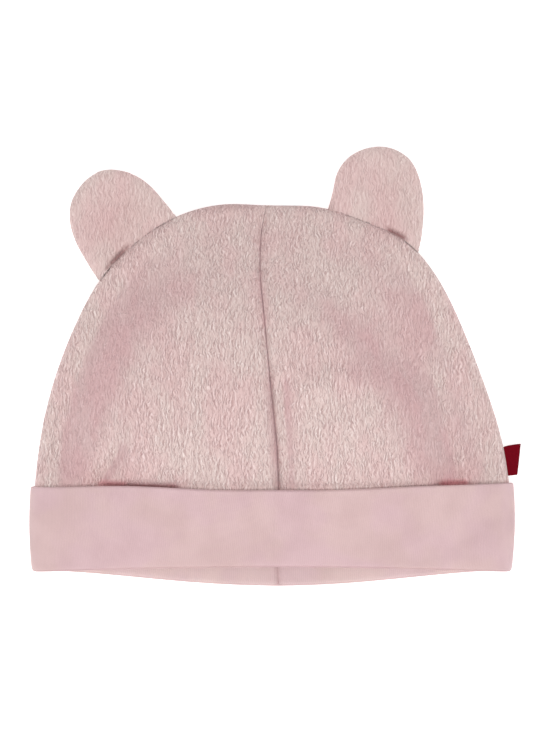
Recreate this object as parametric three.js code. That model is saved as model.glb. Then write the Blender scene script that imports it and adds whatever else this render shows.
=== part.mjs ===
import * as THREE from "three";

// A baby's hat with two round ears, in millimetres, lying on its back.
// x runs across the hat, y from its mouth up to the top of the crown, z up from the surface it lies on.
// The crown is four fleece panels joined at a centre seam and a side seam. The ears and the tag are sewn
// into the side seam, which is the hat's outline. A doubled jersey band is turned up as the cuff.

// The hat laid flat
const cuffWidth = 202; // across the turned-up cuff
const cuffHeight = 35; // from the fold at the mouth to the cuff's free edge
const crownRise = 116.5; // from the cuff's free edge to the top of the crown
const cuffTuck = 6; // how far the crown reaches down behind the cuff
const frontLift = 2.9; // how far the front of the mouth is drawn up at its middle
const backDrop = 6.5; // how far the back of the mouth shows below the front at its middle

// Thickness and depth
const fleece = 2.2; // wall of a crown panel
const jersey = 1.8; // wall of the doubled band
const wrapGap = 0.4; // between the crown and the cuff around it
const seamGap = 0.3; // between two sewn edges
const crownLoft = 34; // the front's greatest height
const seamHeight = 8; // the side seam's height
const edgeRadius = 8; // the front's rounding beside the side seam
const edgeRise = 5; // the height that this rounding gains
const domeReach = 70; // how far in from the outline the front still rises
const padRise = 6; // how far the front's padded-out middle stands above its sides
const padTopRise = 3; // and above the top of the crown
const padShoulder = 12; // width of the slope round that middle at its sides
const padTopShoulder = 22; // and towards the top
const padFade = 10; // length over which it begins above the cuff
const seamGroove = 1; // depth of the crease along the front's centre seam
const seamGrooveWidth = 3;
const underRadius = 10; // the back's rounding beside the side seam
const cuffRun = 15; // length over which the back comes down from the cuff to the surface
const cuffClear = 1; // where that run begins above the cuff

// Ears
const earBase = 42; // along the side seam
const earHeight = 34;
const earLeaf = 2.6; // one leaf, with the seam allowance turned into it
const earRim = 0.9; // one leaf at the sewn rim
const earRimRadius = 4;
const earPinch = 0.7; // share of a leaf's thickness left where the side seam holds it
const earPinchReach = 5;
const earDish = 0.9; // hollow in the middle of the front leaf
const earDroop = 4.6; // how far the tip hangs below the side seam
const earDroopPower = 1.5; // how late the droop sets in, from the seam outwards
const leftEarFromTop = 38.4; // along the side seam, from the top of the crown
const rightEarFromTop = 25.4;

// Tag, folded and sewn into the right side seam a little askew
const tagLength = 12.6;
const tagReachLow = 4; // from the seam to the tag's fold, at its end beside the cuff
const tagReachHigh = 7;
const tagPly = 0.4; // one of its two layers
const tagGap = 0.2; // between them
const tagAboveCuff = 4.6;

const shellHalf = cuffWidth / 2 - jersey - wrapGap;
const hatHeight = cuffHeight + crownRise;

// The shell from the mouth to the top. left, right and seam are distances across, as shares of half its
// width; leftUp, rightUp and seamUp are heights in the cuff as millimetres, and above it as shares of
// the crown's rise; crest is the front's height as a share of its loft.
const cuffSections = [
  { left: -0.989, right: 0.986, seam: 0.026, up: 0, crest: 0.7 },
  { left: -1.0, right: 1.0, seam: 0.026, up: cuffHeight / 2, crest: 0.74 },
  { left: -0.996, right: 0.997, seam: 0.026, up: cuffHeight - cuffTuck, crest: 0.78 },
  { left: -0.992, right: 0.993, seam: 0.027, up: cuffHeight, crest: 0.81 },
];
const crownSections = [
  { left: -0.967, leftUp: 0.185, right: 0.957, rightUp: 0.185, seam: 0.022, seamUp: 0.146, crest: 0.93 },
  { left: -0.906, leftUp: 0.395, right: 0.882, rightUp: 0.378, seam: 0.002, seamUp: 0.3, crest: 1.0 },
  { left: -0.818, leftUp: 0.584, right: 0.795, rightUp: 0.567, seam: -0.018, seamUp: 0.472, crest: 1.0 },
  { left: -0.718, leftUp: 0.739, right: 0.694, rightUp: 0.742, seam: -0.034, seamUp: 0.618, crest: 0.99 },
  { left: -0.567, leftUp: 0.872, right: 0.564, rightUp: 0.872, seam: -0.049, seamUp: 0.747, crest: 0.97 },
  { left: -0.398, leftUp: 0.961, right: 0.385, rightUp: 0.944, seam: -0.049, seamUp: 0.854, crest: 0.95 },
  { left: -0.223, leftUp: 1.002, right: 0.207, rightUp: 0.992, seam: -0.038, seamUp: 0.94, crest: 0.93 },
  { left: -0.021, leftUp: 1.0, right: -0.021, rightUp: 1.0, seam: -0.021, seamUp: 1.0, crest: 0.9 },
];

// The outline of the front's raised middle, from the left of the cuff over the crown to its right. across
// is a share of half the width, and up a share of the crown's rise, as in the table of folds. steep runs
// from 0 for the top's rise and shoulder to 1 for the sides'.
const padOutline = [
  { across: -0.84, up: -0.1, steep: 1 },
  { across: -0.82, up: 0.13, steep: 1 },
  { across: -0.77, up: 0.34, steep: 1 },
  { across: -0.62, up: 0.56, steep: 0.9 },
  { across: -0.36, up: 0.7, steep: 0.3 },
  { across: -0.06, up: 0.725, steep: 0 },
  { across: 0.18, up: 0.64, steep: 0.4 },
  { across: 0.4, up: 0.49, steep: 0.9 },
  { across: 0.6, up: 0.36, steep: 1 },
  { across: 0.7, up: 0.15, steep: 1 },
  { across: 0.8, up: -0.1, steep: 1 },
];

// Folds of the front. Each runs along a straight stretch, from and to given as shares. depth is positive
// for a dent and negative for a ridge.
const folds = [
  { across: 0.64, up: 0.16, toAcross: 0.77, toUp: 0.03, depth: 2.6, width: 5.5 },
  { across: -0.62, up: 0.16, toAcross: -0.72, toUp: 0.02, depth: 2.2, width: 3.5 },
  { across: -0.7, up: 0.03, toAcross: -0.34, toUp: 0.02, depth: 2.2, width: 3.5 },
  { across: 0.6, up: 0.03, toAcross: 0.84, toUp: 0.03, depth: 2, width: 3.5 },
  { across: -0.18, up: 0.18, toAcross: -0.34, toUp: 0.05, depth: 1.4, width: 4.5 },
  { across: 0.02, up: 0.34, toAcross: 0.06, toUp: 0.02, depth: 1.6, width: 3.5 },
  { across: 0.1, up: 0.4, toAcross: 0.36, toUp: 0.42, depth: 1.4, width: 4 },
  { across: 0.56, up: 0.41, toAcross: 0.7, toUp: 0.33, depth: 1.6, width: 7 },
  { across: 0.25, up: 0.34, toAcross: 0.46, toUp: 0.14, depth: -1.4, width: 9 },
  { across: -0.6, up: 0.4, toAcross: -0.68, toUp: 0.24, depth: -1, width: 6 },
];

// Where the cuff's free edge rises and falls across the front, in millimetres
const freeEdge = [
  { across: -1, lift: -0.3 },
  { across: -0.62, lift: 1 },
  { across: -0.2, lift: -0.7 },
  { across: 0.15, lift: -0.7 },
  { across: 0.7, lift: 1 },
  { across: 1, lift: 1.4 },
];

// The ears' free outlines, from the end nearer the top of the crown to the other. along is a share of the
// base, measured from its middle, and out is a share of the height.
const leftEarOutline = [
  { along: -0.5, out: 0.22 },
  { along: -0.49, out: 0.52 },
  { along: -0.41, out: 0.79 },
  { along: -0.23, out: 1.01 },
  { along: -0.01, out: 1.04 },
  { along: 0.2, out: 0.96 },
  { along: 0.34, out: 0.78 },
  { along: 0.42, out: 0.56 },
  { along: 0.465, out: 0.28 },
];
const rightEarOutline = [
  { along: -0.53, out: 0.22 },
  { along: -0.57, out: 0.46 },
  { along: -0.53, out: 0.68 },
  { along: -0.4, out: 0.88 },
  { along: -0.2, out: 1.0 },
  { along: 0.03, out: 0.97 },
  { along: 0.2, out: 0.79 },
  { along: 0.32, out: 0.58 },
  { along: 0.42, out: 0.3 },
];

// Curves through the sections

const up = (share) => cuffHeight + share * crownRise;
const shell = [
  ...cuffSections.map((s) => ({ ...s, leftUp: s.up, rightUp: s.up, seamUp: s.up })),
  ...crownSections.map((s) => ({
    ...s,
    leftUp: up(s.leftUp),
    rightUp: up(s.rightUp),
    seamUp: up(s.seamUp),
  })),
];
const curve = (across, height, depth) =>
  new THREE.CatmullRomCurve3(
    shell.map((s) => new THREE.Vector3(s[across] * shellHalf, s[height], s[depth] * crownLoft)),
    false,
    "centripetal",
  );
const leftSeam = curve("left", "leftUp", "crest");
const rightSeam = curve("right", "rightUp", "crest");
const centreSeam = curve("seam", "seamUp", "crest");

// The station where the side seam reaches a height
const stationError = 1e-5;
function stationAtHeight(height, seam = leftSeam) {
  let low = 0;
  let high = 1;
  while (high - low > stationError) {
    const middle = (low + high) / 2;
    if (seam.getPoint(middle).y < height) low = middle;
    else high = middle;
  }
  return low;
}
const hemStation = stationAtHeight(cuffHeight - cuffTuck);
const cuffTopStation = stationAtHeight(cuffHeight);

// Distance in plan from a point to the hat's outline
const outlineSteps = 60;
const outline = [
  ...leftSeam.getPoints(outlineSteps),
  ...rightSeam.getPoints(outlineSteps).reverse(),
].map((p) => new THREE.Vector2(p.x, p.y));

function shareAlong(p, a, b) {
  const along = new THREE.Vector2().subVectors(b, a);
  const length2 = along.lengthSq();
  const share = length2 > 0 ? new THREE.Vector2().subVectors(p, a).dot(along) / length2 : 0;
  return THREE.MathUtils.clamp(share, 0, 1);
}

function distanceToSegment(p, a, b) {
  const share = shareAlong(p, a, b);
  const x = THREE.MathUtils.lerp(a.x, b.x, share);
  const y = THREE.MathUtils.lerp(a.y, b.y, share);
  return Math.hypot(p.x - x, p.y - y);
}

function distanceToLine(p, line) {
  let nearest = Infinity;
  for (let i = 1; i < line.length; i++) {
    nearest = Math.min(nearest, distanceToSegment(p, line[i - 1], line[i]));
  }
  return nearest;
}

const edgeDistance = (x, y) => distanceToLine(new THREE.Vector2(x, y), outline);

// The line round the front's raised middle, with its steepness in place of a height
const padRows = padOutline.map((row) => new THREE.Vector3(row.across * shellHalf, up(row.up), row.steep));
const padLine = new THREE.CatmullRomCurve3(padRows, false, "centripetal").getPoints(outlineSteps);

// How far the front lies below its raised middle at a point
function padDrop(p) {
  let inside = false;
  let nearest = Infinity;
  let steep = 0;
  padLine.forEach((a, i) => {
    const b = padLine[(i + 1) % padLine.length];
    const crosses = a.y > p.y !== b.y > p.y;
    if (crosses && p.x < a.x + ((p.y - a.y) / (b.y - a.y)) * (b.x - a.x)) inside = !inside;
    const distance = distanceToSegment(p, a, b);
    if (i + 1 < padLine.length && distance < nearest) {
      nearest = distance;
      steep = THREE.MathUtils.lerp(a.z, b.z, shareAlong(p, a, b));
    }
  });
  const half = THREE.MathUtils.lerp(padTopShoulder, padShoulder, steep) / 2;
  const outside = THREE.MathUtils.smoothstep(inside ? -nearest : nearest, -half, half);
  return THREE.MathUtils.lerp(padTopRise, padRise, steep) * outside;
}

// A quarter ellipse that leaves the edge upright and ends level
const rounding = (share) => Math.sqrt(1 - (1 - Math.min(share, 1)) ** 2);

// The folds' height at a point of the front, with its centre crease, and level behind the cuff
function relief(x, y, crease) {
  const p = new THREE.Vector2(x, y);
  let dent = 0;
  let ridge = 0;
  for (const fold of folds) {
    const from = new THREE.Vector2(fold.across * shellHalf, up(fold.up));
    const to = new THREE.Vector2(fold.toAcross * shellHalf, up(fold.toUp));
    const reach = distanceToSegment(p, from, to) / fold.width;
    const height = fold.depth * Math.exp(-reach * reach);
    dent = Math.max(dent, height);
    ridge = Math.min(ridge, height);
  }
  const clear = THREE.MathUtils.smoothstep(y, cuffHeight - cuffTuck, cuffHeight);
  const shoulder = padDrop(p) * THREE.MathUtils.smoothstep(y, cuffHeight, cuffHeight + padFade);
  return -(dent + ridge + crease) * clear - shoulder;
}

// A point of the crown's outer surface, carried on down through the cuff to the mouth. turn goes round
// the hat: 0 at the centre front, a quarter turn at the right side seam, a half turn at the centre back.
// station goes from 0 at the mouth to 1 at the top. smooth leaves the folds out, as the cuff does.
function shellPoint(turn, station, smooth = false) {
  const across = Math.abs(Math.sin(turn));
  const front = Math.cos(turn) >= 0;
  const side = (Math.sin(turn) < 0 ? leftSeam : rightSeam).getPoint(station);
  const centre = centreSeam.getPoint(station);
  if (!front) centre.x = THREE.MathUtils.lerp(shell[0].seam, shell.at(-1).seam, station) * shellHalf;
  const x = THREE.MathUtils.lerp(centre.x, side.x, across);
  const y = THREE.MathUtils.lerp(centre.y, side.y, across * across);
  const open = 1 - across * across;
  const distance = edgeDistance(x, y);
  if (front) {
    const shift = frontLift * open * Math.max(0, 1 - y / cuffHeight);
    const dome = (centre.z - seamHeight - edgeRise) * rounding(distance / domeReach) ** 2;
    const crease = seamGroove * Math.exp(-(((x - centre.x) / seamGrooveWidth) ** 2));
    const fold = smooth ? 0 : relief(x, y, crease) * Math.min(1, distance / edgeRadius);
    const z = seamHeight + edgeRise * rounding(distance / edgeRadius) + dome + fold;
    return new THREE.Vector3(x, y + shift, z);
  }
  const shift = -backDrop * open * open * (1 - y / hatHeight);
  const runStart = cuffHeight + cuffClear;
  const cuffShare = 1 - THREE.MathUtils.smoothstep(y, runStart, runStart + cuffRun);
  const floor = THREE.MathUtils.lerp(seamGap / 2, jersey + wrapGap, cuffShare);
  const z = floor + (seamHeight - floor) * (1 - rounding(distance / underRadius));
  return new THREE.Vector3(x, y + shift, z);
}

// The shell's outward direction
const probe = 0.004;
function shellNormal(turn, station, smooth) {
  const below = Math.max(0, station - probe);
  const above = Math.min(1 - probe, station + probe);
  const middle = Math.min(1 - probe, station);
  const round = shellPoint(turn + probe, middle, smooth).sub(shellPoint(turn - probe, middle, smooth));
  const along = shellPoint(turn, above, smooth).sub(shellPoint(turn, Math.min(below, above - probe), smooth));
  return round.cross(along).normalize();
}

const offsetPoint = (turn, station, offset, smooth) =>
  shellPoint(turn, station, smooth).addScaledVector(shellNormal(turn, station, smooth), offset);

// Closed meshes

// Collects shared vertices and triangles, and makes them a named mesh
class Skin {
  constructor() {
    this.points = [];
    this.faces = [];
  }
  add(point) {
    this.points.push(point.x, point.y, point.z);
    return this.points.length / 3 - 1;
  }
  quad(a, b, c, d) {
    this.faces.push(a, b, c, a, c, d);
  }
  // A strip of quads between two rows of vertices
  strip(lower, upper) {
    for (let i = 1; i < lower.length; i++) this.quad(lower[i - 1], lower[i], upper[i], upper[i - 1]);
  }
  fan(row, tip) {
    for (let i = 1; i < row.length; i++) this.faces.push(row[i - 1], row[i], tip);
  }
  // Closes the end of a strip with a flat cap. contour holds the ring's points in two dimensions.
  cap(ring, contour, flipped) {
    const area = THREE.ShapeUtils.area(contour);
    for (const corners of THREE.ShapeUtils.triangulateShape(contour, [])) {
      const face = corners.map((i) => ring[i]);
      const alike = THREE.ShapeUtils.area(corners.map((i) => contour[i])) > 0 === area > 0;
      this.faces.push(...(alike === flipped ? face.reverse() : face));
    }
  }
  mesh(name, material, flipped = false) {
    const geometry = new THREE.BufferGeometry();
    geometry.setAttribute("position", new THREE.Float32BufferAttribute(this.points, 3));
    geometry.setIndex(flipped ? this.faces.reverse() : this.faces);
    geometry.computeVertexNormals();
    const mesh = new THREE.Mesh(geometry, material);
    mesh.name = name;
    return mesh;
  }
}

const frontColumns = 16;
const backColumns = 10;
const columnPower = 1.3; // how much closer the front's columns lie beside its centre seam
const frontRows = 24;
const backRows = 16;
const tuckedRows = 2; // behind the cuff
const earRimSteps = 26;
const earBaseSteps = 10;
const earRings = [1, 0.93, 0.84, 0.7, 0.4];
const tagFoldSteps = 6;

const fleecePink = new THREE.MeshStandardMaterial({ color: 0xdcc0bb, roughness: 0.95, metalness: 0 });
const jerseyPink = new THREE.MeshStandardMaterial({ color: 0xe0c0c0, roughness: 0.85, metalness: 0 });
const tagRed = new THREE.MeshStandardMaterial({ color: 0x8a0a20, roughness: 0.6, metalness: 0 });

const frontQuarter = (share) => Math.sign(share) * Math.abs(share) ** columnPower * (Math.PI / 2);

// A crown panel: a wall between the outer shell and its offset, from the hidden lower edge to the top.
// side is -1 for left and 1 for right.
function crownPanel(name, side, isFront, rows, columns) {
  const skin = new Skin();
  const shift = new THREE.Vector3(side * seamGap, 0, isFront ? seamGap : -seamGap).multiplyScalar(0.5);
  const turnAt = (column) => {
    const share = column / columns;
    return side * (isFront ? frontQuarter(share) : Math.PI - share * (Math.PI / 2));
  };
  const stationAt = (row) => {
    if (row < tuckedRows) return THREE.MathUtils.lerp(hemStation, cuffTopStation, row / tuckedRows);
    const share = Math.sin(((row - tuckedRows) / (rows - tuckedRows)) * (Math.PI / 2));
    return THREE.MathUtils.lerp(cuffTopStation, 1, share);
  };
  const wall = (offset) => {
    const grid = [];
    for (let row = 0; row < rows; row++) {
      const line = [];
      for (let column = 0; column <= columns; column++) {
        line.push(skin.add(offsetPoint(turnAt(column), stationAt(row), offset).add(shift)));
      }
      grid.push(line);
    }
    const tip = shellPoint(turnAt(columns / 2), 1);
    const top = skin.add(tip.setY(tip.y + offset).add(shift));
    return { grid, top };
  };
  const outer = wall(0);
  const inner = wall(-fleece);
  for (let row = 1; row < rows; row++) {
    skin.strip(outer.grid[row - 1], outer.grid[row]);
    skin.strip([...inner.grid[row - 1]].reverse(), [...inner.grid[row]].reverse());
  }
  skin.fan(outer.grid[rows - 1], outer.top);
  skin.fan([...inner.grid[rows - 1]].reverse(), inner.top);
  skin.strip(inner.grid[0], outer.grid[0]);
  const edge = (grid, top, column) => [...grid.map((line) => line[column]), top];
  skin.strip(edge(inner.grid, inner.top, columns), edge(outer.grid, outer.top, columns));
  skin.strip(edge(outer.grid, outer.top, 0), edge(inner.grid, inner.top, 0));
  return skin.mesh(name, fleecePink, side > 0 !== isFront);
}

// The lift of the cuff's free edge at a distance across
function edgeLift(across) {
  const i = Math.max(1, freeEdge.findIndex((row) => row.across >= Math.min(across, 1)));
  const before = freeEdge[i - 1];
  const after = freeEdge[i];
  const share = (across - before.across) / (after.across - before.across);
  return THREE.MathUtils.lerp(before.lift, after.lift, THREE.MathUtils.smoothstep(share, 0, 1));
}

// The cuff's section at one turn: down the outer face, round the fold, up inside the hat to the crown's
// lower edge, and back between the two layers.
function cuffSection(turn) {
  const foldRadius = jersey + wrapGap / 2;
  const liftedTop = Math.cos(turn) >= 0 ? edgeLift(Math.sin(turn)) : 0;
  const top = stationAtHeight(cuffHeight + liftedTop);
  const seat = stationAtHeight(cuffHeight - cuffTuck - seamGap);
  const foldStation = stationAtHeight(foldRadius);
  const layer = (end, offset, share) =>
    offsetPoint(turn, THREE.MathUtils.lerp(foldStation, end, share), offset, true);
  const round = (radius, angle) => {
    const middle = offsetPoint(turn, foldStation, wrapGap / 2, true);
    const out = shellNormal(turn, foldStation, true);
    middle.addScaledVector(out, radius * Math.cos(angle));
    middle.y -= radius * Math.sin(angle);
    return middle;
  };
  const outside = wrapGap + jersey;
  const tip = layer(top, wrapGap + jersey / 2, 1);
  tip.y += jersey / 4;
  return [
    ...[1, 0.7, 0.35, 0].map((share) => layer(top, outside, share)),
    ...[0.25, 0.5, 0.75].map((share) => round(foldRadius, share * Math.PI)),
    ...[0, 0.5, 1].map((share) => layer(seat, -jersey, share)),
    ...[1, 0.5, 0].map((share) => layer(seat, 0, share)),
    round(wrapGap / 2, Math.PI / 2),
    ...[0, 0.5, 1].map((share) => layer(top, wrapGap, share)),
    tip,
  ];
}

// The cuff: a strip of doubled jersey whose ends meet at the centre back
function cuff(name) {
  const skin = new Skin();
  const turns = [];
  for (let i = 0; i < backColumns; i++) turns.push(-Math.PI + (i / backColumns) * (Math.PI / 2));
  for (let i = -frontColumns; i <= frontColumns; i++) turns.push(frontQuarter(i / frontColumns));
  for (let i = 1; i <= backColumns; i++) turns.push((1 + i / backColumns) * (Math.PI / 2));
  const rings = turns.map((turn, i) => {
    const apart = i === 0 ? -seamGap / 2 : i === turns.length - 1 ? seamGap / 2 : 0;
    const ring = cuffSection(turn).map((p) => skin.add(p.setX(p.x + apart)));
    return [...ring, ring[0]];
  });
  for (let i = 1; i < rings.length; i++) skin.strip(rings[i - 1], rings[i]);
  const contour = cuffSection(Math.PI).map((p) => new THREE.Vector2(p.y, p.z));
  skin.cap(rings[0].slice(0, -1), contour, true);
  skin.cap(rings.at(-1).slice(0, -1), contour, false);
  return skin.mesh(name, jerseyPink);
}

// One leaf of an ear. layer is 1 for the front leaf and -1 for the back one.
function earLeafMesh(name, seam, fromTop, rows, layer) {
  const length = seam.getLength();
  const seamPoint = (distance) => {
    const share = 1 - distance / length;
    const point = seam.getPointAt(share);
    const along = seam.getTangentAt(share);
    const outward = new THREE.Vector2(along.y, -along.x).multiplyScalar(seam === leftSeam ? -1 : 1);
    return new THREE.Vector2(point.x, point.y).addScaledVector(outward.normalize(), seamGap);
  };
  const start = seamPoint(fromTop);
  const end = seamPoint(fromTop + earBase);
  const middle = new THREE.Vector2().lerpVectors(start, end, 0.5);
  const along = new THREE.Vector2().subVectors(end, start).normalize();
  const out = new THREE.Vector2(-along.y, along.x).multiplyScalar(seam === leftSeam ? -1 : 1);
  const free = rows.map((row) =>
    middle
      .clone()
      .addScaledVector(along, row.along * earBase)
      .addScaledVector(out, row.out * earHeight),
  );
  const flat = [start, ...free, end].map((p) => new THREE.Vector3(p.x, p.y, 0));
  const rim = new THREE.CatmullRomCurve3(flat, false, "centripetal")
    .getPoints(earRimSteps)
    .map((p) => new THREE.Vector2(p.x, p.y));
  const base = [];
  for (let i = 1; i < earBaseSteps; i++) base.push(seamPoint(fromTop + earBase * (1 - i / earBaseSteps)));
  const edge = [...rim, ...base];
  const heart = middle.clone().addScaledVector(out, earHeight / 2);

  const face = (point, outer) => {
    const reach = edgeDistance(point.x, point.y);
    const fromRim = distanceToLine(point, rim);
    const held = THREE.MathUtils.lerp(earPinch, 1, THREE.MathUtils.smoothstep(reach, 0, earPinchReach));
    const dish = layer > 0 ? earDish * THREE.MathUtils.smoothstep(fromRim, earRimRadius, 3 * earRimRadius) : 0;
    const wall = earRim + (earLeaf - earRim) * rounding(fromRim / earRimRadius) * held - dish;
    const height = seamHeight - earDroop * (reach / earHeight) ** earDroopPower;
    return new THREE.Vector3(point.x, point.y, height + layer * (seamGap / 2 + (outer ? wall : 0)));
  };
  const skin = new Skin();
  const side = (outer) => {
    const rings = earRings.map((share) => {
      const ring = edge.map((p) => skin.add(face(new THREE.Vector2().lerpVectors(heart, p, share), outer)));
      return [...ring, ring[0]];
    });
    return { rings, top: skin.add(face(heart, outer)) };
  };
  const outer = side(true);
  const inner = side(false);
  const lay = ({ rings, top }, turned) => {
    const way = (ring) => (turned ? [...ring].reverse() : ring);
    for (let i = 1; i < rings.length; i++) skin.strip(way(rings[i - 1]), way(rings[i]));
    skin.fan(way(rings.at(-1)), top);
  };
  lay(outer, false);
  lay(inner, true);
  skin.strip(inner.rings[0], outer.rings[0]);
  return skin.mesh(name, fleecePink, (seam === leftSeam) !== layer > 0);
}

// The tag: two layers joined by a fold, each layer reaching out from the side seam
function tag(name) {
  const half = tagPly + tagGap / 2;
  const low = stationAtHeight(cuffHeight + tagAboveCuff, rightSeam);
  const start = rightSeam.getPoint(low);
  const along = rightSeam.getTangent(low).setZ(0).normalize();
  const outward = new THREE.Vector3(along.y, -along.x, 0);
  const section = (reach) => {
    const shape = new THREE.Shape();
    shape.moveTo(seamGap, half);
    shape.lineTo(reach - half, half);
    shape.absarc(reach - half, 0, half, Math.PI / 2, -Math.PI / 2, true);
    shape.lineTo(seamGap, -half);
    shape.lineTo(seamGap, -tagGap / 2);
    shape.absarc(reach - half, 0, tagGap / 2, -Math.PI / 2, Math.PI / 2, false);
    shape.lineTo(seamGap, tagGap / 2);
    return shape.getPoints(tagFoldSteps);
  };
  const skin = new Skin();
  const rings = [0, 1].map((share) => {
    const points = section(THREE.MathUtils.lerp(tagReachLow, tagReachHigh, share));
    const ring = points.map((p) => {
      const foot = start.clone().addScaledVector(along, share * tagLength).setZ(seamHeight);
      return skin.add(foot.addScaledVector(outward, p.x).add(new THREE.Vector3(0, 0, p.y)));
    });
    return [...ring, ring[0]];
  });
  skin.strip(rings[0], rings[1]);
  skin.cap(rings[0].slice(0, -1), section(tagReachLow), true);
  skin.cap(rings[1].slice(0, -1), section(tagReachHigh), false);
  return skin.mesh(name, tagRed);
}

const hat = new THREE.Group();
hat.add(
  crownPanel("crown_front_left", -1, true, frontRows, frontColumns),
  crownPanel("crown_front_right", 1, true, frontRows, frontColumns),
  crownPanel("crown_back_left", -1, false, backRows, backColumns),
  crownPanel("crown_back_right", 1, false, backRows, backColumns),
  cuff("cuff"),
  earLeafMesh("ear_left_front", leftSeam, leftEarFromTop, leftEarOutline, 1),
  earLeafMesh("ear_left_back", leftSeam, leftEarFromTop, leftEarOutline, -1),
  earLeafMesh("ear_right_front", rightSeam, rightEarFromTop, rightEarOutline, 1),
  earLeafMesh("ear_right_back", rightSeam, rightEarFromTop, rightEarOutline, -1),
  tag("side_tag"),
);

// The whole is moved so that it stands on zero, centred
const box = new THREE.Box3().setFromObject(hat);
const middle = box.getCenter(new THREE.Vector3());
hat.position.set(-middle.x, -middle.y, -box.min.z);

export default hat;
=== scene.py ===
import math

import bpy
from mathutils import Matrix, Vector, noise
from mathutils.kdtree import KDTree


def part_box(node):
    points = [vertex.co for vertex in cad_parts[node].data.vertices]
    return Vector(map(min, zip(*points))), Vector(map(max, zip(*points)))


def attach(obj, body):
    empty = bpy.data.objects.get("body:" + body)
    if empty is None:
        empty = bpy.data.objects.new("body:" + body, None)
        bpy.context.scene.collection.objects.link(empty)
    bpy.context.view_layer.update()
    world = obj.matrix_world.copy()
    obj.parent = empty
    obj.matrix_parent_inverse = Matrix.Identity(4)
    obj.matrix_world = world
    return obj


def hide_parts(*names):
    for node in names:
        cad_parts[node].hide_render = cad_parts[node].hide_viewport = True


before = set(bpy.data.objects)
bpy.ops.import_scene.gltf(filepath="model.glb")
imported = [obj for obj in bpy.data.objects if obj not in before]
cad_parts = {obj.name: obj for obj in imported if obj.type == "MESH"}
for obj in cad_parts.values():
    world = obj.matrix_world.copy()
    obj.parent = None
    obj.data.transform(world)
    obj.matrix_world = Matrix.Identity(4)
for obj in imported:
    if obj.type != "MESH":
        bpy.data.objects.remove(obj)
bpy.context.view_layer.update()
mm = 0.001

# Places are measured from the middle of the mouth: across the hat, and up it to the top of the crown.
hat_height = 151.7 * mm
cuff_low, cuff_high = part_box("cuff")
middle_x = (cuff_low[0] + cuff_high[0]) / 2
mouth_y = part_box("crown_front_left")[1][1] - hat_height


# The crown is four panels of crinkled microfleece, sewn right sides together at a centre seam and at the
# side seam, so that their edges roll in. The front is puffed up, with the folds of soft cloth, and the
# back lies flat on the surface.
fleece_ground = (0.735, 0.57, 0.54, 1)
# A painted highlight and a painted shade for the lit and shaded sides of the strands and their crinkles
fleece_painted_highlight = (0.98, 0.86, 0.83, 1)
fleece_painted_shade = (0.45, 0.28, 0.27, 1)
fleece_warm = (1.0, 0.925, 0.945, 1)
# Painted shade: a rose tint where the crown's face slopes
slope_shade_colour = (0.87, 0.785, 0.815, 1)
aslant_margin = 9 * mm
# A painted red glow and a painted shade for the hollows
glow_red = (0.97, 0.5, 0.56, 1)
hollow_painted_shade = (0.5, 0.37, 0.38, 1)
aslant_slope = (0.18, 0.5)
aslant_tautness = 0.4
strand_width = 0.85 * mm
strand_stretch = 0.26
# How far sideways the copy of the strands is shifted, whose difference paints their highlight and shade
emboss_shift = 0.28 * mm
strand_detail = 1.5
strand_roughness = 0.6
crinkle_width = 1.6 * mm
patch_width = 4 * mm
tone_width = 12 * mm
tone_stretch = 0.5
sway_width = 4 * mm
sway_reach = 2.6 * mm
strand_relief = 0.3 * mm
nap_depth = 0.2 * mm
nap_length = 3.2 * mm
nap_ripple = 2.3
division = 3
weld_distance = 0.01 * mm
flat_angle = math.radians(60)
even_angle = math.radians(70)
sewn_angle = math.radians(50)
lying_height = 2 * mm
raised_height = 6 * mm
seam_reach = 12 * mm
seam_facing = 0.7
seam_height_error = 0.6 * mm
seam_roll = 1.2 * mm
seam_roll_width = 1.5 * mm
seam_close = 0.1 * mm

# Folds that are too sharp for the solids: the line that each follows, from and to, in millimetres across
# and up the hat, its depth, and its width. A negative depth is a ridge.
crown_folds = [
    {"x": -62.8, "y": 50.0, "to_x": -71.1, "to_y": 37.0, "depth": 1.4, "width": 2.2},
    {"x": -68.0, "y": 35.6, "to_x": -40.0, "to_y": 34.8, "depth": 1.5, "width": 1.4},
    {"x": 42.0, "y": 91.0, "to_x": 65.0, "to_y": 77.0, "depth": 1.3, "width": 5.0},
    {"x": 66.0, "y": 68.0, "to_x": 75.0, "to_y": 42.0, "depth": 1.1, "width": 4.0},
    {"x": 68.0, "y": 35.8, "to_x": 80.0, "to_y": 36.0, "depth": 1.7, "width": 1.6},
    {"x": 4.0, "y": 78.0, "to_x": 6.6, "to_y": 36.0, "depth": 0.7, "width": 2.2},
    {"x": 14.0, "y": 75.0, "to_x": 30.0, "to_y": 80.0, "depth": -0.8, "width": 5.0},
    {"x": 30.0, "y": 80.0, "to_x": 44.0, "to_y": 73.0, "depth": -0.7, "width": 5.0},
    {"x": -96.0, "y": 35.6, "to_x": 96.0, "to_y": 35.6, "depth": 0.5, "width": 1.2},
]

# How far up the hat the crown's folds begin and are whole, and how many of its widths a fold reaches
fold_start = 30
fold_full = 34
fold_reach = 3

# The openings at the base of the ears, as lines like the folds
ear_folds = [
    {"x": -67.0, "y": 126.6, "to_x": -60.0, "to_y": 133.8, "depth": 1.5, "width": 1.3},
    {"x": 48.0, "y": 141.2, "to_x": 55.0, "to_y": 137.6, "depth": 1.5, "width": 1.1},
]
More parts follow.
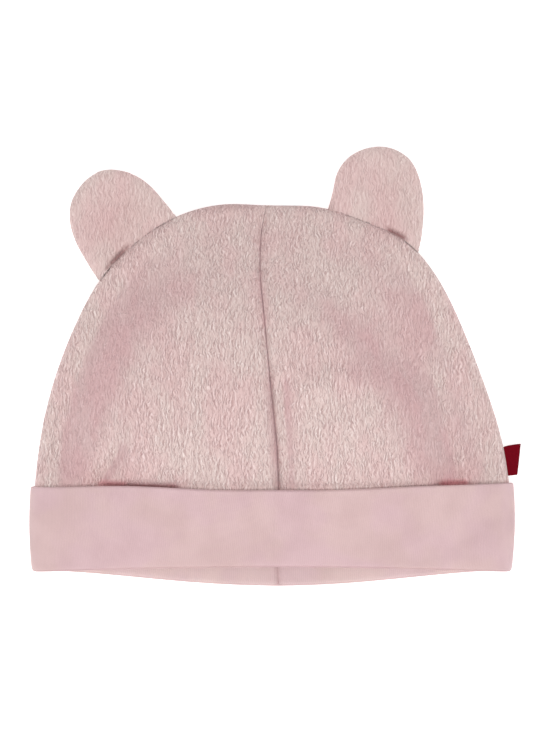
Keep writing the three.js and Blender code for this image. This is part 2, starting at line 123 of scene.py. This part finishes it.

# Where the colour is painted, as lines like the folds: red, a painted glow where light shines through the
# cloth in a hollow, and dark, painted shade in a hollow that no light reaches
deep_hollows = [
    {"x": -66.2, "y": 127.2, "to_x": -61.6, "to_y": 132.0, "width": 1.1, "red": 0.0, "dark": 0.95},
    {"x": -68.6, "y": 124.8, "to_x": -59.4, "to_y": 134.2, "width": 0.6, "red": 0.0, "dark": 0.6},
    {"x": 48.6, "y": 140.7, "to_x": 54.4, "to_y": 137.7, "width": 0.8, "red": 0.0, "dark": 0.95},
    {"x": -64.0, "y": 140.0, "to_x": -60.0, "to_y": 147.0, "width": 10.0, "red": 0.14, "dark": 0.1},
    {"x": 49.0, "y": 145.0, "to_x": 50.0, "to_y": 155.0, "width": 9.0, "red": 0.06, "dark": 0.06},
    {"x": -0.2, "y": 80.0, "to_x": 3.0, "to_y": 37.0, "width": 0.8, "red": 0.0, "dark": 0.45},
    {"x": -38.0, "y": 149.2, "to_x": -2.0, "to_y": 151.8, "width": 1.8, "red": 0.0, "dark": 0.3},
    {"x": -2.0, "y": 151.8, "to_x": 24.0, "to_y": 150.8, "width": 1.8, "red": 0.0, "dark": 0.3},
    {"x": -70.0, "y": 36.4, "to_x": -61.0, "to_y": 36.0, "width": 1.8, "red": 0.7, "dark": 0.0},
    {"x": -72.0, "y": 38.0, "to_x": -60.0, "to_y": 38.0, "width": 6.0, "red": 0.16, "dark": 0.0},
    {"x": -60.0, "y": 35.4, "to_x": -40.0, "to_y": 35.2, "width": 0.9, "red": 0.5, "dark": 0.25},
    {"x": 70.0, "y": 36.4, "to_x": 79.0, "to_y": 36.6, "width": 1.7, "red": 0.8, "dark": 0.0},
    {"x": 67.0, "y": 39.0, "to_x": 79.0, "to_y": 39.0, "width": 6.0, "red": 0.16, "dark": 0.0},
]


class Shade:
    """An output socket in a material. Arithmetic on it adds Math nodes, and node() adds any other."""

    def __init__(self, tree, socket=None):
        self.tree = tree
        self.socket = socket

    def node(self, kind, settings=None, inputs=None, output=0):
        made = self.tree.nodes.new(kind)
        for name, value in (settings or {}).items():
            setattr(made, name, value)
        for name, value in (inputs or {}).items():
            if isinstance(value, Shade):
                self.tree.links.new(value.socket, made.inputs[name])
            else:
                made.inputs[name].default_value = value
        return Shade(self.tree, made.outputs[output]) if made.outputs else None

    def math(self, operation, *values):
        return self.node("ShaderNodeMath", {"operation": operation}, dict(enumerate(values)))

    def __add__(self, other):
        return self.math("ADD", self, other)

    def __radd__(self, other):
        return self.math("ADD", other, self)

    def __sub__(self, other):
        return self.math("SUBTRACT", self, other)

    def __rsub__(self, other):
        return self.math("SUBTRACT", other, self)

    def __mul__(self, other):
        return self.math("MULTIPLY", self, other)

    def __rmul__(self, other):
        return self.math("MULTIPLY", other, self)

    def clipped(self, low, high):
        limits = {"Value": self, "From Min": low, "From Max": high}
        return self.node("ShaderNodeMapRange", {"interpolation_type": "SMOOTHSTEP"}, limits)

    def mixed(self, first, second):
        return self.node("ShaderNodeMix", {"data_type": "RGBA"}, {0: self, 6: first, 7: second}, 2)

    def noise(self, place, size, detail=2.0, roughness=0.5):
        inputs = {"Vector": place, "Scale": 1 / size, "Detail": detail, "Roughness": roughness}
        return self.node("ShaderNodeTexNoise", inputs=inputs)

    def bump(self, height, depth):
        return self.node("ShaderNodeBump", inputs={"Height": height, "Strength": 1.0, "Distance": depth})

    def attribute(self, name):
        return self.node("ShaderNodeAttribute", {"attribute_name": name}, output="Fac")

    def tinted(self, share, colour):
        settings = {"data_type": "RGBA", "blend_type": "MULTIPLY"}
        return self.node("ShaderNodeMix", settings, {0: share, 6: self, 7: colour}, 2)


def new_material(name):
    material = bpy.data.materials.new(name)
    material.use_nodes = True
    material.node_tree.nodes.clear()
    return material, Shade(material.node_tree)


def finish_material(shade, **inputs):
    named = {key.replace("_", " ").title().replace("Ior", "IOR"): value for key, value in inputs.items()}
    shader = shade.node("ShaderNodeBsdfPrincipled", inputs=named)
    shade.node("ShaderNodeOutputMaterial", inputs={"Surface": shader})


fleece, shade = new_material("fleece")
place = shade.node("ShaderNodeTexCoord", output="Object")
sway = shade.node("ShaderNodeTexNoise", inputs={"Vector": place, "Scale": 1 / sway_width}, output="Color")
offset = shade.node("ShaderNodeVectorMath", {"operation": "SCALE"}, {0: sway, "Scale": sway_reach})
swayed = shade.node("ShaderNodeVectorMath", {"operation": "ADD"}, {0: place, 1: offset})
strand_place = shade.node("ShaderNodeMapping", inputs={"Vector": swayed, "Scale": (1, strand_stretch, 1)})
beside = shade.node("ShaderNodeVectorMath", {"operation": "ADD"}, {0: strand_place, 1: (emboss_shift, 0, 0)})
tone_place = shade.node("ShaderNodeMapping", inputs={"Vector": place, "Scale": (1, tone_stretch, 1)})

# Painted highlight and shade: the strands less a copy shifted sideways light one side of each strand and
# shade the other, and the crinkles between them get painted shade
strands = shade.noise(strand_place, strand_width, strand_detail, strand_roughness)
emboss = strands - shade.noise(beside, strand_width, strand_detail, strand_roughness)
crinkles = shade.noise(strand_place, crinkle_width)
patches = shade.noise(place, patch_width).clipped(0.38, 0.56)
loose = (1 - shade.attribute("taut")) * (patches * 0.35 + 0.65)
crinkle = 1 - shade.math("ABSOLUTE", crinkles - 0.48).clipped(0.0, 0.03)
shaded_crevice = emboss.clipped(0.035, 0.1) + crinkle * 0.45
lit_crest = (0 - emboss).clipped(0.045, 0.12)
tone = shade.noise(tone_place, tone_width).clipped(0.35, 0.65)
highlighted = (lit_crest * loose * 0.6).mixed(fleece_ground, fleece_painted_highlight)
shaded = (shaded_crevice * loose * 0.55).mixed(highlighted, fleece_painted_shade)
warmed = shaded.tinted(tone, fleece_warm)
# Painted shade on the crown's slopes, as a rose tint
slope_shaded = warmed.tinted(shade.attribute("slope_shade"), slope_shade_colour)
# Painted red glow and painted shade in the hollows
glowing = slope_shaded.tinted(shade.attribute("red"), glow_red)
shadowed = glowing.tinted(shade.attribute("dark"), hollow_painted_shade)
height = (strands + lit_crest * 0.3 - shaded_crevice * 0.5) * loose
finish_material(
    shade,
    base_color=shadowed,
    roughness=0.95,
    sheen_weight=0.35,
    sheen_roughness=0.4,
    sheen_tint=(0.9, 0.97, 1.0, 1),
    specular_ior_level=0.15,
    normal=shade.bump(height, strand_relief),
)


def cloth_from(node, name, hold=0.75):
    """A finely divided copy of one of the solids, whose sewn edges stay crisp."""
    bpy.ops.object.select_all(action="DESELECT")
    piece = bpy.data.objects.new(name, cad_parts[node].data.copy())
    bpy.context.scene.collection.objects.link(piece)
    piece.data.materials.clear()
    piece.select_set(True)
    bpy.context.view_layer.objects.active = piece
    bpy.ops.object.mode_set(mode="EDIT")
    bpy.ops.mesh.select_all(action="SELECT")
    bpy.ops.mesh.remove_doubles(threshold=weld_distance)
    bpy.ops.mesh.tris_convert_to_quads(face_threshold=flat_angle, shape_threshold=even_angle)
    bpy.ops.mesh.select_all(action="DESELECT")
    bpy.ops.mesh.select_mode(type="EDGE")
    bpy.ops.mesh.edges_select_sharp(sharpness=sewn_angle)
    bpy.ops.transform.edge_crease(value=hold)
    bpy.ops.object.mode_set(mode="OBJECT")
    divide = piece.modifiers.new("divide", "SUBSURF")
    divide.levels = divide.render_levels = division
    bpy.ops.object.modifier_apply(modifier=divide.name)
    bpy.ops.object.shade_smooth()
    return piece


def smooth_step(value, low, high):
    share = min(1.0, max(0.0, (value - low) / (high - low)))
    return share * share * (3 - 2 * share)


def hat_place(vertex):
    """How far a vertex is across the hat and up it, in millimetres."""
    return (vertex.co.x - middle_x) / mm, (vertex.co.y - mouth_y) / mm


def line_distance(x, y, fold):
    start = Vector((fold["x"], fold["y"]))
    along = Vector((fold["to_x"], fold["to_y"])) - start
    share = (Vector((x, y)) - start).dot(along) / along.length_squared
    return (start + along * min(1.0, max(0.0, share)) - Vector((x, y))).length


def fold_cloth(piece, folds, fade_low=0, fade_high=1):
    """Presses the folds into a piece, but not near the mouth or where it lies on the table."""
    for vertex in piece.data.vertices:
        x, y = hat_place(vertex)
        raised = smooth_step(vertex.co.z, lying_height, raised_height)
        fade = smooth_step(y, fade_low, fade_high) * raised
        if fade == 0:
            continue
        for fold in folds:
            reach = line_distance(x, y, fold) / fold["width"]
            if reach < fold_reach:
                vertex.co.z -= fold["depth"] * mm * math.exp(-reach * reach) * fade


def tree_of(points):
    tree = KDTree(len(points))
    for index, point in enumerate(points):
        tree.insert(point, index)
    tree.balance()
    return tree


def mark_cloth(piece, tautness, edge=None):
    """Writes what the fleece's material reads: the painted red glow and painted dark shade in hollows, how
    taut the cloth is, and the painted shade on its slopes.
    """
    names = ("red", "dark", "taut", "slope_shade")
    for name in names:
        piece.data.attributes.new(name, "FLOAT", "POINT")
    red, dark, taut, slope_shade = (piece.data.attributes[name].data for name in names)
    for vertex in piece.data.vertices:
        x, y = hat_place(vertex)
        shares = [math.exp(-(line_distance(x, y, row) / row["width"]) ** 2) for row in deep_hollows]
        red[vertex.index].value = max(row["red"] * share for row, share in zip(deep_hollows, shares))
        dark[vertex.index].value = max(row["dark"] * share for row, share in zip(deep_hollows, shares))
        # Painted shade on the slopes, faded out near the outline
        slope = 0.0
        if edge:
            inside = smooth_step(edge.find(vertex.co.xy.to_3d())[2], aslant_margin / 2, aslant_margin)
            slope = inside * smooth_step(math.hypot(vertex.normal.x, vertex.normal.y / 2), *aslant_slope)
        slope_shade[vertex.index].value = slope
        taut[vertex.index].value = max(tautness, slope * aslant_tautness)


def sewn_vertices(piece, side, seam_z):
    """The vertices on a panel's cut edges, at the centre seam and at the side seam."""
    sewn = []
    for vertex in piece.data.vertices:
        centre = abs(vertex.co.x - middle_x) < seam_reach and vertex.normal.x * side < -seam_facing
        outline = abs(vertex.co.z - seam_z) < seam_height_error
        if centre or outline:
            sewn.append((vertex.index, centre))
    return sewn


def roll_edges(piece, side, facing, seam_z):
    """Turns a panel's face down into its centre seam, and closes that seam."""
    closed = {index for index, centre in sewn_vertices(piece, side, seam_z) if centre}
    tree = tree_of([piece.data.vertices[index].co for index in closed])
    moved = []
    for vertex in piece.data.vertices:
        reach = tree.find(vertex.co)[2] / seam_roll_width
        place = vertex.co - Vector((0, 0, facing * seam_roll * math.exp(-reach * reach)))
        if vertex.index in closed:
            place.x -= side * seam_close
        moved.append(place)
    for vertex, place in zip(piece.data.vertices, moved):
        vertex.co = place


def raise_nap(piece, facing, held=frozenset()):
    """Lifts and sinks the fleece's face, but not its inside or its sewn edges."""
    moved = []
    for vertex in piece.data.vertices:
        hold = 0.0 if vertex.index in held else smooth_step(vertex.normal.z * facing, -0.1, 0.35)
        at = Vector((vertex.co.x, vertex.co.y * strand_stretch, vertex.co.z)) / nap_length
        height = noise.noise(at) + noise.noise(at * nap_ripple) / 2
        if facing < 0:
            height = -abs(height)
        moved.append(vertex.co + vertex.normal * height * nap_depth * hold)
    for vertex, place in zip(piece.data.vertices, moved):
        vertex.co = place


side_seam = []
for side, sign in (("left", -1), ("right", 1)):
    for face, facing in (("front", 1), ("back", -1)):
        node = f"crown_{face}_{side}"
        seam_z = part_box(node)[0 if facing > 0 else 1][2]
        panel = cloth_from(node, f"fleece_{face}_{side}")
        sewn = sewn_vertices(panel, sign, seam_z)
        held = {index for index, centre in sewn}
        edge = [panel.data.vertices[index].co.xy.to_3d() for index, centre in sewn if not centre]
        if facing > 0:
            side_seam += edge
            fold_cloth(panel, crown_folds, fold_start, fold_full)
        mark_cloth(panel, 0.0, tree_of(edge))
        raise_nap(panel, facing, held)
        roll_edges(panel, sign, facing, seam_z)
        panel.data.materials.append(fleece)
        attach(panel, "root")
        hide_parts(node)


# The cuff is a band of fine jersey, doubled, sewn to the crown's lower edge and turned up outside it. Its
# ends are joined at the centre back. Its wales run up the hat.
jersey_colour = (0.72, 0.52, 0.515, 1)
jersey_shade_colour = (0.6, 0.415, 0.41, 1)
jersey_lilac = (0.985, 0.965, 1.015, 1)
# Painted light on the jersey inside the mouth, under the front of the cuff
jersey_painted_light = (1.14, 1.22, 1.19, 1)
# Painted shade for the cuff's edge that faces the mouth and for the join of its ends
jersey_painted_shade = (0.62, 0.5, 0.5, 1)
wale_spacing = 0.85 * mm
wale_wander = 0.3 * mm
wander_length = 3 * mm
yarn_width = 0.5 * mm
cloud_width = 14 * mm
lilac_width = 22 * mm
knit_relief = 0.1 * mm
band_swell = 0.35 * mm
swell_length = 17 * mm
swell_height = (3 * mm, 9 * mm)
back_height = (8 * mm, 14 * mm)
rim_shade = 0.5
rim_facing = (0.4, 0.8)
join_shade = 0.8
join_close = 0.24 * mm
join_reach = 1.0

# How far up the hat the jersey at the mouth has painted light, and the band's folds begin and are whole
mouth_light_reach = (-2, 6)
band_fold_start = 2
band_fold_full = 6

# The join of the band's ends, at the centre back, and the band's slack folds: lines like the crown's
band_join = {"x": 2.49, "y": -5.32, "to_x": 1.34, "to_y": 28.86}
band_folds = [
    {"x": 94.0, "y": 25.0, "to_x": 70.0, "to_y": 9.0, "depth": 0.8, "width": 4.5},
    {"x": 60.0, "y": 6.0, "to_x": 40.0, "to_y": 20.0, "depth": 0.5, "width": 5.0},
    {"x": -86.0, "y": 22.0, "to_x": -60.0, "to_y": 14.0, "depth": -0.5, "width": 7.0},
]

jersey, shade = new_material("jersey")
place = shade.node("ShaderNodeTexCoord", output="Object")
across = shade.node("ShaderNodeSeparateXYZ", inputs={0: place}, output="X")
up = shade.node("ShaderNodeSeparateXYZ", inputs={0: place}, output="Z")
around = across - shade.math("SIGN", across) * up
wander = (shade.noise(place, wander_length) - 0.5) * wale_wander
wale = shade.math("SINE", (around + wander) * (2 * math.pi / wale_spacing)) * 0.5 + 0.5
yarn = shade.noise(place, yarn_width)
cloudiness = shade.noise(place, cloud_width).clipped(0.3, 0.7)
knitted = (cloudiness * 0.4 + wale * 0.3 + yarn * 0.5).mixed(jersey_shade_colour, jersey_colour)
tinged = knitted.tinted(shade.noise(place, lilac_width).clipped(0.4, 0.6), jersey_lilac)
mouth_lit = tinged.tinted(shade.attribute("mouth_light"), jersey_painted_light)
darkened = mouth_lit.tinted(shade.attribute("dark"), jersey_painted_shade)
finish_material(
    shade,
    base_color=darkened,
    roughness=0.85,
    sheen_weight=0.15,
    sheen_roughness=0.5,
    specular_ior_level=0.2,
    normal=shade.bump(wale * 0.7 + yarn * 0.5, knit_relief),
)

band = cloth_from("cuff", "jersey_cuff")
for name in ("mouth_light", "dark"):
    band.data.attributes.new(name, "FLOAT", "POINT")
mouth_light, dark = (band.data.attributes[name].data for name in ("mouth_light", "dark"))
join_lean = (band_join["to_x"] - band_join["x"]) / (band_join["to_y"] - band_join["y"])
moved = []
for vertex in band.data.vertices:
    x, y = hat_place(vertex)
    back = 1 - smooth_step(vertex.co.z, *back_height)
    beside = x - band_join["x"] - (y - band_join["y"]) * join_lean
    # Painted shade along the edge facing the mouth and along the closed join of the ends
    rim = rim_shade * smooth_step(-vertex.normal.y, *rim_facing)
    join = join_shade * back * math.exp(-(beside / join_reach * 2) ** 2)
    # Painted light on the jersey inside the mouth
    mouth_light[vertex.index].value = back * (1 - smooth_step(y, *mouth_light_reach))
    dark[vertex.index].value = max(rim, join)
    closing = math.copysign(join_close, beside) * back * math.exp(-(beside / join_reach) ** 2)
    swell = band_swell * noise.noise(vertex.co / swell_length) * smooth_step(vertex.co.z, *swell_height)
    moved.append(vertex.co + Vector((-closing, 0, swell)))
for vertex, place in zip(band.data.vertices, moved):
    vertex.co = place
fold_cloth(band, band_folds, band_fold_start, band_fold_full)
band.data.materials.append(jersey)
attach(band, "root")
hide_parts("cuff")


# Each ear is two leaves of the same fleece, sewn together round the rim, turned, and caught at the base
# in the side seam. The leaves are a little cupped, and smoother than the crown.
ear_tuck = 1.0 * mm
ear_tuck_reach = 2.5 * mm
ear_tautness = 0.35
ear_hold = 0.4

seam_tree = tree_of(side_seam)


def tuck_base(piece):
    """Draws the base of what is sewn into the side seam in against the crown."""
    for vertex in piece.data.vertices:
        flat = vertex.co.xy.to_3d()
        seam, index, distance = seam_tree.find(flat)
        reach = distance / ear_tuck_reach
        if distance > 0:
            vertex.co += (seam - flat) / distance * ear_tuck * math.exp(-reach * reach)


for side in ("left", "right"):
    for face, facing in (("front", 1), ("back", -1)):
        node = f"ear_{side}_{face}"
        leaf = cloth_from(node, f"fleece_ear_{side}_{face}", hold=ear_hold)
        tuck_base(leaf)
        if facing > 0:
            fold_cloth(leaf, ear_folds)
        mark_cloth(leaf, ear_tautness)
        raise_nap(leaf, facing)
        leaf.data.materials.append(fleece)
        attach(leaf, "root")
        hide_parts(node)


# The side tag is a narrow woven tape, folded double and caught in the right side seam above the cuff.
tag_colour = (0.13, 0.0005, 0.006, 1)
tag_thread_colour = (0.27, 0.001, 0.012, 1)
thread_spacing = 0.35 * mm
thread_relief = 0.05 * mm
tag_hold = 0.6

tape, shade = new_material("tag")
place = shade.node("ShaderNodeTexCoord", output="Object")
threads = shade.node("ShaderNodeTexBrick", {"offset": 0.5}, {
    "Vector": place, "Scale": 1 / thread_spacing, "Color1": (1, 1, 1, 1), "Color2": (0.7, 0.7, 0.7, 1),
    "Mortar": (0, 0, 0, 1), "Mortar Size": 0.12, "Brick Width": 1.0, "Row Height": 0.6,
})
finish_material(
    shade,
    base_color=threads.mixed(tag_colour, tag_thread_colour),
    roughness=0.6,
    specular_ior_level=0.06,
    normal=shade.bump(threads, thread_relief),
)

tag = cloth_from("side_tag", "woven_tag", hold=tag_hold)
tuck_base(tag)
tag.data.materials.append(tape)
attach(tag, "root")
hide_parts("side_tag")


# A white studio table that glows a little, under soft light from overhead and, weaker, from the mouth's
# side, the ears' side and both ends of the cuff, seen from straight above through a long lens.
floor_size = 40.0
camera_height = 1.4
seam_height = 8 * mm
picture_height = 303 * mm
sensor = 36.0
light_size = 0.9
sky_strength = 0.25
picture_middle_x = middle_x + 1.2 * mm
picture_middle_y = mouth_y + 84.5 * mm

bpy.ops.object.select_all(action="DESELECT")
bpy.ops.mesh.primitive_plane_add(size=floor_size, location=(0, 0, 0))
floor = bpy.context.object
floor.name = "floor"
table, shade = new_material("table")
finish_material(
    shade,
    base_color=(0.9, 0.9, 0.9, 1),
    roughness=0.9,
    emission_color=(1, 1, 1, 1),
    emission_strength=0.5,
)
floor.data.materials.append(table)

studio = bpy.data.worlds.new("studio")
studio.use_nodes = True
sky = studio.node_tree.nodes["Background"]
sky.inputs["Color"].default_value = (1, 1, 1, 1)
sky.inputs["Strength"].default_value = sky_strength
bpy.context.scene.world = studio

for name, x, y, z, power in (
    ("overhead_light", 0.0, -0.45, 1.65, 14.1),
    ("near_light", 0.0, -1.35, 0.5, 6),
    ("far_light", 0.0, 1.2, 1.0, 6.5),
    ("left_light", -1.3, -0.2, 0.4, 4.5),
    ("right_light", 1.3, -0.2, 0.4, 4.5),
):
    bpy.ops.object.light_add(type="AREA", location=(x, y, z))
    light = bpy.context.object
    light.name = name
    light.data.energy = power
    light.data.size = light_size
    light.rotation_euler = (-Vector((x, y, z))).to_track_quat("-Z", "Y").to_euler()

bpy.ops.object.camera_add(location=(picture_middle_x, picture_middle_y, camera_height + seam_height))
camera = bpy.context.object
camera.name = "camera"
camera.data.sensor_width = sensor
camera.data.lens = sensor * camera_height / picture_height
camera.data.clip_end = 100
bpy.context.scene.camera = camera
bpy.context.scene.view_settings.view_transform = "Standard"
